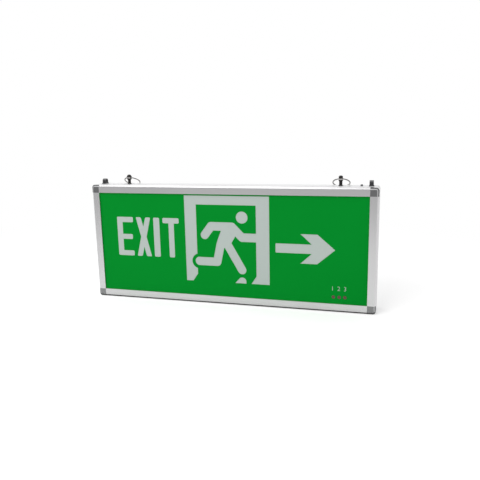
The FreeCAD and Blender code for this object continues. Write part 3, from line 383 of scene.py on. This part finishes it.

# %% [markdown]
# A lighter band is laid over the black finish of the studs, at the height where the rings pass
# through.  The band is found by its height on the object.

# %% A lighter band at the height of the eyes
# A lighter tone laid in a band on the studs, at the height of the eyes.
EYE_BAND_UP, EYE_BAND_HALF, EYE_BAND_FULL = -0.0003, 0.0008, 0.6
EYE_BAND_TONE = (0.46, 0.45, 0.44)
eye_z = joints["ring_left_swing"]["pos_m"][2]
tree = black_oxide.node_tree
place = add_node(tree, "TexCoord")
from_eye = add_node(tree, "VectorMath", operation="SUBTRACT")
from_eye.inputs[1].default_value = (0.0, 0.0, eye_z + EYE_BAND_UP)
split = add_node(tree, "SeparateXYZ")
distance = add_node(tree, "Math", operation="ABSOLUTE")
band = add_node(tree, "MapRange", From_Min=EYE_BAND_HALF, From_Max=EYE_BAND_HALF * EYE_BAND_FULL)
wire(tree,
     (place, "Object", from_eye, 0),
     (from_eye, "Vector", split, "Vector"),
     (split, "Z", distance, 0),
     (distance, "Value", band, "Value"))
lay_over(black_oxide, band, "Result", EYE_BAND_TONE)
print("studs rubbed bare at", round(1000 * eye_z, 1), "mm")

# %% [markdown]
# ## Dress the solids
# Each solid keeps its shape and gets the finish of the real piece.  One table names them all,
# so no piece is forgotten.

# %% Give every solid its finish
finish_of = {
    "frame_top": level_rail, "frame_bottom": level_rail,
    "frame_left": upright_rail, "frame_right": upright_rail,
    "corner_top_left": corner_grey, "corner_top_right": corner_grey,
    "corner_bottom_left": corner_grey, "corner_bottom_right": corner_grey,
    "legend_film": green_ink, "face_panel": opal, "rear_case": white_case,
    "case_screws": zinc, "cable_grommet": rubber, "reflector_pan": coated_sheet,
    "light_strip_upper": solder_mask, "light_strip_lower": solder_mask,
    "led_chips": phosphor, "indicator_board": solder_mask, "indicator_leds": phosphor,
    "light_pipe": smoked_red, "driver_board": solder_mask, "transformer": ferrite,
    "capacitors": can_sleeve, "terminal_block": terminal_green, "relay": relay_black,
    "board_screws": zinc, "battery_pack": battery_sleeve, "battery_strap": zinc,
    "eye_stud_left": black_oxide, "eye_stud_right": black_oxide,
    "split_ring_left": nickel, "split_ring_right": nickel,
    "end_lug_left": lug_grey, "end_lug_right": lug_grey, "hanger_nuts": zinc,
    "test_button": button_grey, "test_switch": relay_black, "switch_board": solder_mask,
}
bpy.ops.object.select_all(action="DESELECT")
for name, solid in frame["nodes"].items():
    solid.data.materials.clear()
    solid.data.materials.append(finish_of[name])
print("dressed", len(finish_of), "of", len(frame["nodes"]), "solids")

# %% [markdown]
# ## Helpers for new pieces
# A new piece starts as a primitive and is shaped in edit mode.  When it is done, its place is
# applied to its mesh, its normals are turned outwards, and it is tied to the body that carries it.

# %% Finish and hand over a piece
MERGE_WITHIN = 0.000002
SMOOTH_BELOW = math.radians(35)


def only(piece):
    bpy.ops.object.select_all(action="DESELECT")
    piece.select_set(True)
    bpy.context.view_layer.objects.active = piece


def apply_place(piece):
    only(piece)
    bpy.ops.object.transform_apply(location=True, rotation=True, scale=True)


def apply_modifiers(piece):
    only(piece)
    for modifier in list(piece.modifiers):
        bpy.ops.object.modifier_apply(modifier=modifier.name)


def hand_over(piece, name, finish, body, stands_for=()):
    apply_place(piece)
    bpy.ops.object.mode_set(mode="EDIT")
    bpy.ops.mesh.select_all(action="SELECT")
    bpy.ops.mesh.remove_doubles(threshold=MERGE_WITHIN)
    bpy.ops.mesh.normals_make_consistent(inside=False)
    bpy.ops.object.mode_set(mode="OBJECT")
    bpy.ops.object.shade_smooth_by_angle(angle=SMOOTH_BELOW)
    piece.name = name
    piece.data.name = name
    piece.data.materials.clear()
    piece.data.materials.append(finish)
    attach(piece, body)
    if stands_for:
        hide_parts(*stands_for)
    print(name, "has", len(piece.data.polygons), "faces")


# %% [markdown]
# ## Words on the legend
# The word on such a sign is left out of the green ink, so it shows the opal sheet.  A letter
# starts as one flat bar, which is cut across and whose edges are pulled out into more bars, as
# one would do by hand.  Then the outer corners are rounded, and it gets the thickness of paint.
# Places on the face are in millimetres, to the right of its top left corner and down from it.

# %% Where the lit face lies
film_low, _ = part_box("legend_film")
rail_low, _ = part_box("frame_top")
_, lip_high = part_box("frame_left")
FACE_LEFT, FACE_TOP, FILM_FRONT = lip_high.x, rail_low.z, film_low.y
LETTER_TOP, LETTER_FOOT = 30.8, 81.3
print("lit face starts at", round(1000 * FACE_LEFT, 1), round(1000 * FACE_TOP, 1))


def on_face(right, down):
    """Place on the film from the lit face's top left corner, given in millimetres."""
    return Vector((FACE_LEFT + right / 1000, FILM_FRONT, FACE_TOP - down / 1000))


# %% Start a flat bar
FACING_FRONT = (math.radians(90), 0, 0)


def flat_bar(left, right, top, foot):
    bpy.ops.object.select_all(action="DESELECT")
    middle = on_face((left + right) / 2, (top + foot) / 2)
    bpy.ops.mesh.primitive_plane_add(size=1.0, location=middle, rotation=FACING_FRONT)
    plate = bpy.context.active_object
    plate.scale = ((right - left) / 1000, (foot - top) / 1000, 1.0)
    apply_place(plate)
    return plate


# %% [markdown]
# By hand one would click the edge or the corner to work on.  A script has no mouse, so it picks
# the one nearest to a place on the face, and the pull or the move then acts on that alone.

# %% Cut it across, and pull edges out of it
def cut_across(plate, right=None, down=None):
    """Cuts the whole plate along an upright or a level line."""
    bpy.ops.object.mode_set(mode="EDIT")
    bpy.ops.mesh.select_all(action="SELECT")
    line = on_face(right or 0, down or 0)
    bpy.ops.mesh.bisect(plane_co=line, plane_no=(1, 0, 0) if right else (0, 0, 1))
    bpy.ops.object.mode_set(mode="OBJECT")


def pick(plate, kind, right, down):
    """Selects the one edge or corner nearest to a place on the face."""
    spot = on_face(right, down)
    mesh = plate.data
    corners = mesh.vertices
    for part in (*corners, *mesh.edges, *mesh.polygons):
        part.select = False
    if kind == "EDGE":
        nearest = min(mesh.edges, key=lambda e: (
            (corners[e.vertices[0]].co + corners[e.vertices[1]].co) / 2 - spot).length)
        for index in nearest.vertices:
            corners[index].select = True
    else:
        nearest = min(corners, key=lambda v: (v.co - spot).length)
    nearest.select = True
    bpy.ops.object.mode_set(mode="EDIT")
    bpy.ops.mesh.select_mode(type=kind)


def pull_edge(plate, at, by):
    pick(plate, "EDGE", *at)
    bpy.ops.mesh.extrude_edges_move(
        TRANSFORM_OT_translate={"value": (by[0] / 1000, 0, -by[1] / 1000)})
    bpy.ops.object.mode_set(mode="OBJECT")


def move_corner(plate, at, by):
    pick(plate, "VERT", *at)
    bpy.ops.transform.translate(value=(by[0] / 1000, 0, -by[1] / 1000))
    bpy.ops.object.mode_set(mode="OBJECT")


# %% [markdown]
# Print has no sharp corners where the ink pulls back.  Only the outer corners are rounded, and
# those are the corners that belong to a single face of the plate.

# %% Round the outer corners and give it a thickness
ROUNDING, ROUNDING_STEPS, PAINT = 0.0016, 5, 0.00004


def painted(plate, name):
    faces_at = [0] * len(plate.data.vertices)
    for face in plate.data.polygons:
        for index in face.vertices:
            faces_at[index] += 1
    for part in (*plate.data.edges, *plate.data.polygons):
        part.select = False
    for vertex in plate.data.vertices:
        vertex.select = faces_at[vertex.index] == 1
    bpy.ops.object.mode_set(mode="EDIT")
    bpy.ops.mesh.select_mode(type="VERT")
    bpy.ops.mesh.bevel(offset=ROUNDING, segments=ROUNDING_STEPS, affect="VERTICES")
    bpy.ops.mesh.select_all(action="SELECT")
    bpy.ops.mesh.extrude_region_move(TRANSFORM_OT_translate={"value": (0, -PAINT, 0)})
    bpy.ops.object.mode_set(mode="OBJECT")
    hand_over(plate, name, opal, "sign")


# %% [markdown]
# An E is a bar with three more pulled out of its right edge.  The bar is first cut across at
# the edges of those arms, so that each arm has an edge of its own to be pulled from.

# %% E: one upright with three arms
E_LEFT, E_RIGHT = 22.5, 30.1
E_CUTS = (37.6, 53.0, 59.6, 74.6)
E_ARMS = ((34.2, 14.9), (56.3, 13.5), (77.9, 14.7))  # how far down, and how long
letter_e = flat_bar(E_LEFT, E_RIGHT, LETTER_TOP, LETTER_FOOT)
for level in E_CUTS:
    cut_across(letter_e, down=level)
for level, reach in E_ARMS:
    pull_edge(letter_e, (E_RIGHT, level), (reach, 0))
painted(letter_e, "letter_e")

# %% [markdown]
# The strokes of an X cross at a slant, so bars would overlap in the middle.  It starts there
# instead, as a small diamond.  Each of its four sides is pulled out to the end of one arm, and
# the inner corner of that end is then moved to give the arm its width.

# %% X: four arms pulled out of a small diamond
X_RIGHT, X_DOWN = 59.15, 56.05
WAIST, NOTCH = 3.8, 13.2  # from the middle to the diamond's side corners and to its tips
ARM_OUTER, ARM_INNER = 10.1, 3.1  # from the middle to the two corners at an arm's end
bpy.ops.object.select_all(action="DESELECT")
bpy.ops.mesh.primitive_circle_add(vertices=4, radius=0.001, fill_type="NGON",
                                  location=on_face(X_RIGHT, X_DOWN), rotation=FACING_FRONT)
letter_x = bpy.context.active_object
letter_x.scale = (WAIST, NOTCH, 1.0)
apply_place(letter_x)
for side in (-1, 1):
    for end in (-1, 1):
        waist = (X_RIGHT + WAIST * side, X_DOWN)
        notch = (X_RIGHT, X_DOWN + NOTCH * end)
        far = LETTER_FOOT if end > 0 else LETTER_TOP
        pull = (X_RIGHT + ARM_OUTER * side - waist[0], far - waist[1])
        landed = (notch[0] + pull[0], notch[1] + pull[1])
        pull_edge(letter_x, ((waist[0] + notch[0]) / 2, (waist[1] + notch[1]) / 2), pull)
        move_corner(letter_x, landed, (X_RIGHT + ARM_INNER * side - landed[0], far - landed[1]))
painted(letter_x, "letter_x")

# %% [markdown]
# The I is the bar alone, with one cut across its middle.  The T is a level bar, cut at both
# sides of its stem, and the edge between the cuts is pulled down to the foot.

# %% I and T
I_LEFT, I_RIGHT, I_CUT = 73.3, 81.5, 56.0
T_LEFT, T_RIGHT, T_BAR_FOOT = 86.0, 107.9, 37.6
STEM_LEFT, STEM_RIGHT = 93.9, 101.1
letter_i = flat_bar(I_LEFT, I_RIGHT, LETTER_TOP, LETTER_FOOT)
cut_across(letter_i, down=I_CUT)
painted(letter_i, "letter_i")
letter_t = flat_bar(T_LEFT, T_RIGHT, LETTER_TOP, T_BAR_FOOT)
for edge in (STEM_LEFT, STEM_RIGHT):
    cut_across(letter_t, right=edge)
stem_middle = (STEM_LEFT + STEM_RIGHT) / 2
pull_edge(letter_t, (stem_middle, T_BAR_FOOT), (0, LETTER_FOOT - T_BAR_FOOT))
painted(letter_t, "letter_t")

# %% [markdown]
# ## Numbers over the three small windows
# The windows need a label each, and plain numbers serve on a sign for general use.  A text object
# gives the outline, and turned into a mesh it is as thin as the letters.

# %% Write the numbers
NUMBER_SIZE, NUMBER_PITCH = 0.0076, 0.0073
NUMBER_THIN, NUMBER_DEPTH = -0.00008, 0.00003
NUMBER_NAMES = ("one", "two", "three")
WINDOW_PITCH = 0.00675
FIRST_LEFT, NUMBERS_UP = 0.0011, 0.0078
pipe_low, pipe_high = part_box("light_pipe")
first_x = (pipe_low.x + pipe_high.x) / 2 - WINDOW_PITCH - FIRST_LEFT
number_z = (pipe_low.z + pipe_high.z) / 2 + NUMBERS_UP
for count, label in enumerate(NUMBER_NAMES):
    bpy.ops.object.select_all(action="DESELECT")
    spot = (first_x + count * NUMBER_PITCH, FILM_FRONT, number_z)
    bpy.ops.object.text_add(location=spot, rotation=FACING_FRONT)
    written = bpy.context.active_object
    written.data.body = str(count + 1)
    written.data.size = NUMBER_SIZE
    written.data.align_x = "CENTER"
    written.data.extrude = NUMBER_DEPTH
    written.data.offset = NUMBER_THIN
    bpy.ops.object.convert(target="MESH")
    plate = bpy.context.active_object
    hand_over(plate, "number_" + label, opal, "sign")

# %% [markdown]
# ## Split rings
# A split ring is spring wire of flat section, wound twice, so that a link can be worked in
# between the turns.  A torus would be quicker, but would show neither the gap between the turns
# nor their two ends.  So a small rectangle is swept by a screw modifier through nearly two
# turns, and its open ends are closed.  The finished coil leans back on the case like the solid.

# %% Wind a ring
RING_WIRE = (0.0012, 0.00046)
RING_EDGE, RING_EDGE_STEPS = 0.00014, 2
RING_PITCH = 0.00055
RING_TURNS = 1.93
RING_STEPS = 150
RING_END = math.radians(115)


def split_ring(side):
    low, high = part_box("split_ring_" + side)
    eye = Vector(joints["ring_%s_swing" % side]["pos_m"])
    centre = (low + high) / 2
    wind_r = (high.x - low.x) / 2 - RING_WIRE[0] / 2
    lean = math.atan2(eye.z - centre.z, centre.y - eye.y)
    bpy.ops.object.select_all(action="DESELECT")
    bpy.ops.mesh.primitive_plane_add(size=1.0, location=(wind_r, 0, 0), rotation=FACING_FRONT)
    coil = bpy.context.active_object
    coil.scale = (*RING_WIRE, 1.0)
    apply_place(coil)
    bpy.ops.object.mode_set(mode="EDIT")
    bpy.ops.mesh.select_all(action="SELECT")
    bpy.ops.mesh.bevel(offset=RING_EDGE, segments=RING_EDGE_STEPS, affect="VERTICES")
    bpy.ops.mesh.delete(type="ONLY_FACE")
    bpy.ops.object.mode_set(mode="OBJECT")
    sweep = coil.modifiers.new("wind", "SCREW")
    sweep.angle = RING_TURNS * 2 * math.pi
    sweep.screw_offset = RING_TURNS * RING_PITCH
    sweep.steps = sweep.render_steps = RING_STEPS
    apply_modifiers(coil)
    bpy.ops.object.mode_set(mode="EDIT")
    bpy.ops.mesh.select_all(action="SELECT")
    bpy.ops.mesh.fill_holes(sides=0)
    bpy.ops.object.mode_set(mode="OBJECT")
    coil.location = (0, 0, -RING_TURNS * RING_PITCH / 2)
    coil.rotation_euler = (0, 0, RING_END)
    apply_place(coil)
    coil.location = centre
    coil.rotation_euler = (-lean, 0, 0)
    hand_over(coil, "wound_ring_" + side, nickel, "ring_" + side,
              ["split_ring_" + side])


for side in ("left", "right"):
    split_ring(side)

# %% [markdown]
# ## Screws in the back
# Four countersunk screws close the case.  Each is a cone with a short shank, and its cross slot
# is two thin blocks taken away by a boolean.  One is modelled, then copied to the other corners.

# %% Model one screw
HEAD_R, SHANK_R, HEAD_HEIGHT, HEAD_SIDES = 0.0024, 0.0013, 0.0012, 40
SLOT_BLOCK, SLOT_TURNS = (0.0030, 0.0016, 0.00055), (45, 135)
TOLERANCE = 0.00001
screws_low, screws_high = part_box("case_screws")


def case_screw(x, z):
    back = screws_high.y
    bpy.ops.object.select_all(action="DESELECT")
    bpy.ops.mesh.primitive_cone_add(
        vertices=HEAD_SIDES, radius1=SHANK_R, radius2=HEAD_R, depth=HEAD_HEIGHT,
        location=(x, back - HEAD_HEIGHT / 2, z), rotation=(math.radians(-90), 0, 0))
    screw = bpy.context.active_object
    apply_place(screw)
    for face in screw.data.polygons:
        face.select = face.center.y < back - HEAD_HEIGHT + TOLERANCE
    bpy.ops.object.mode_set(mode="EDIT")
    bpy.ops.mesh.select_mode(type="FACE")
    bpy.ops.mesh.extrude_region_move(
        TRANSFORM_OT_translate={"value": (0, screws_low.y - back + HEAD_HEIGHT, 0)})
    bpy.ops.object.mode_set(mode="OBJECT")
    for turn in SLOT_TURNS:
        bpy.ops.mesh.primitive_cube_add(size=1.0, location=(x, back, z),
                                        rotation=(0, math.radians(turn), 0))
        slot_block = bpy.context.active_object
        slot_block.scale = SLOT_BLOCK
        cut = screw.modifiers.new("slot", "BOOLEAN")
        cut.operation = "DIFFERENCE"
        cut.object = slot_block
        apply_modifiers(screw)
        bpy.data.objects.remove(slot_block)
    return screw


# %% [markdown]
# The screws stand a head's radius inside the box of the four.  The copies share no mesh with
# the first, and all four are joined into one piece, as the solids are.

# %% Put a screw in each corner
first_screw = case_screw(screws_low.x + HEAD_R, screws_low.z + HEAD_R)
step_x = screws_high.x - screws_low.x - 2 * HEAD_R
step_z = screws_high.z - screws_low.z - 2 * HEAD_R
screw_set = [first_screw]
for dx, dz in ((step_x, 0), (0, step_z), (step_x, step_z)):
    copy = bpy.data.objects.new("screw_copy", first_screw.data.copy())
    bpy.context.scene.collection.objects.link(copy)
    copy.location = (dx, 0, dz)
    screw_set.append(copy)
only(first_screw)
for screw in screw_set:
    screw.select_set(True)
bpy.ops.object.join()
hand_over(first_screw, "cross_slot_screws", zinc, "sign", ["case_screws"])

# %% [markdown]
# ## Floor, backdrop and light
# The sign stands on a plain pale floor in a white room.  The floor and the world look white to
# the camera, but light the sign at a plain level, so its colours come out as they are written.
# A switch tells the rays apart: those from the camera, and those that metal or glass sends on,
# see the white, and all others see the plain floor and room.

# %% A switch that is 1 for rays that should see white
def sees_white(tree):
    path = add_node(tree, "LightPath")
    first = add_node(tree, "Math", operation="MAXIMUM")
    second = add_node(tree, "Math", operation="MAXIMUM")
    wire(tree,
         (path, "Is Camera Ray", first, 0),
         (path, "Is Glossy Ray", first, 1),
         (first, "Value", second, 0),
         (path, "Is Transmission Ray", second, 1))
    return second


# %% [markdown]
# A floor that only glows would take no shadow.  Near the sign it glows weakly over a plain
# diffuse surface, which shows the shadow, and further away it fades to a pure white glow.

# %% A floor that looks white and still takes a shadow
FLOOR_SIZE, FLOOR_GAP = 10.0, 0.0002
NEAR_GLOW, FAR_GLOW = 0.36, 1.0
FADE_START, FADE_END = 0.20, 0.75
bpy.ops.object.select_all(action="DESELECT")
bpy.ops.mesh.primitive_plane_add(size=FLOOR_SIZE, location=(0, 0, FOOT_LEVEL - FLOOR_GAP))
floor = bpy.context.active_object
floor.name = "pale_floor"
pale = bpy.data.materials.new("pale_floor")
pale.use_nodes = True
tree = pale.node_tree
tree.nodes.clear()
out = add_node(tree, "OutputMaterial")
plain = add_node(tree, "BsdfDiffuse", Color=(0.80, 0.80, 0.80, 1.0))
near_glow = add_node(tree, "Emission", Strength=NEAR_GLOW)
far_glow = add_node(tree, "Emission", Strength=FAR_GLOW)
near = add_node(tree, "AddShader")
white = add_node(tree, "MixShader")
choose = add_node(tree, "MixShader")
spot = add_node(tree, "TexCoord")
away = add_node(tree, "VectorMath", operation="LENGTH")
fade = add_node(tree, "MapRange", interpolation_type="SMOOTHSTEP", From_Min=FADE_START,
                From_Max=FADE_END)
wire(tree,
     (spot, "Object", away, 0),
     (away, "Value", fade, "Value"),
     (plain, "BSDF", near, 0),
     (near_glow, "Emission", near, 1),
     (fade, "Result", white, "Fac"),
     (near, "Shader", white, 1),
     (far_glow, "Emission", white, 2),
     (sees_white(tree), "Value", choose, "Fac"),
     (plain, "BSDF", choose, 1),
     (white, "Shader", choose, 2),
     (choose, "Shader", out, "Surface"))
floor.data.materials.append(pale)
print("floor at", round(1000 * floor.location.z, 2), "mm")

# %% [markdown]
# The world is a room of even white light.  It lights the sign at a little over half strength,
# so that the lamps still give it light and shade, and shows as full white behind it.

# %% White room
ROOM_LIGHT, ROOM_WHITE = 0.60, 1.0
world = bpy.data.worlds.new("white_room")
bpy.context.scene.world = world
world.use_nodes = True
tree = world.node_tree
room = tree.nodes["Background"]
set_input(room, "Color", (1.0, 1.0, 1.0, 1.0))
strength = add_node(tree, "MapRange", To_Min=ROOM_LIGHT, To_Max=ROOM_WHITE)
wire(tree,
     (sees_white(tree), "Value", strength, "Value"),
     (strength, "Result", room, "Strength"))
print("world lights at", ROOM_LIGHT)

# %% [markdown]
# Bright metal in an all-white room looks like paper.  Studios place grey cards just out of
# view, and here only reflections can see them.  The upper one darkens the top rail a little,
# and a darker one on the floor draws the line along the bottom edge.

# %% Grey cards that only reflections see
CARD_GAP = 0.0001


def reflection_card(name, location, size, grey, upright):
    bpy.ops.object.select_all(action="DESELECT")
    turn = FACING_FRONT if upright else (0, 0, 0)
    bpy.ops.mesh.primitive_plane_add(size=1.0, location=location, rotation=turn)
    card = bpy.context.active_object
    card.name = name
    card.scale = (*size, 1.0)
    paint = bpy.data.materials.new(name)
    paint.use_nodes = True
    shader = paint.node_tree.nodes["Principled BSDF"]
    set_input(shader, "Base Color", (0.0, 0.0, 0.0, 1.0))
    set_input(shader, "Specular IOR Level", 0.0)
    set_input(shader, "Emission Color", (grey, grey, grey, 1.0))
    set_input(shader, "Emission Strength", 1.0)
    card.data.materials.append(paint)
    for kind in ("camera", "diffuse", "transmission", "volume_scatter", "shadow"):
        setattr(card, "visible_" + kind, False)
    print(name, "reflects as", grey)


reflection_card("upper_card", location=(-0.1, -0.50, 0.30), size=(3.0, 0.56), grey=0.36,
                upright=True)
reflection_card("lower_card", location=(0, -0.0015, FOOT_LEVEL - CARD_GAP),
                size=(0.37, 0.034), grey=0.02, upright=False)

# %% [markdown]
# Two broad lamps stand in for a softbox each.  The one overhead makes the upper edges bright,
# and the one in front lights the legend.  The Standard view shows colours as they are written.

# %% Lamps
def soft_lamp(name, place, aim, size, power):
    data = bpy.data.lights.new(name, "AREA")
    data.shape = "RECTANGLE"
    data.size, data.size_y = size
    data.energy = power
    lamp = bpy.data.objects.new(name, data)
    lamp.location = place
    lamp.rotation_euler = (Vector(aim) - Vector(place)).to_track_quat("-Z", "Y").to_euler()
    bpy.context.scene.collection.objects.link(lamp)


soft_lamp("overhead", place=(-0.29, -0.12, 1.1), aim=(-0.05, -0.05, 0.1), size=(1.1, 0.6),
          power=2.9)
soft_lamp("front", place=(-0.4, -0.95, 0.95), aim=(0, 0, 0.07), size=(0.9, 0.7), power=6.8)
bpy.context.scene.view_settings.view_transform = "Standard"
print("lamps:", [light.name for light in bpy.data.lights])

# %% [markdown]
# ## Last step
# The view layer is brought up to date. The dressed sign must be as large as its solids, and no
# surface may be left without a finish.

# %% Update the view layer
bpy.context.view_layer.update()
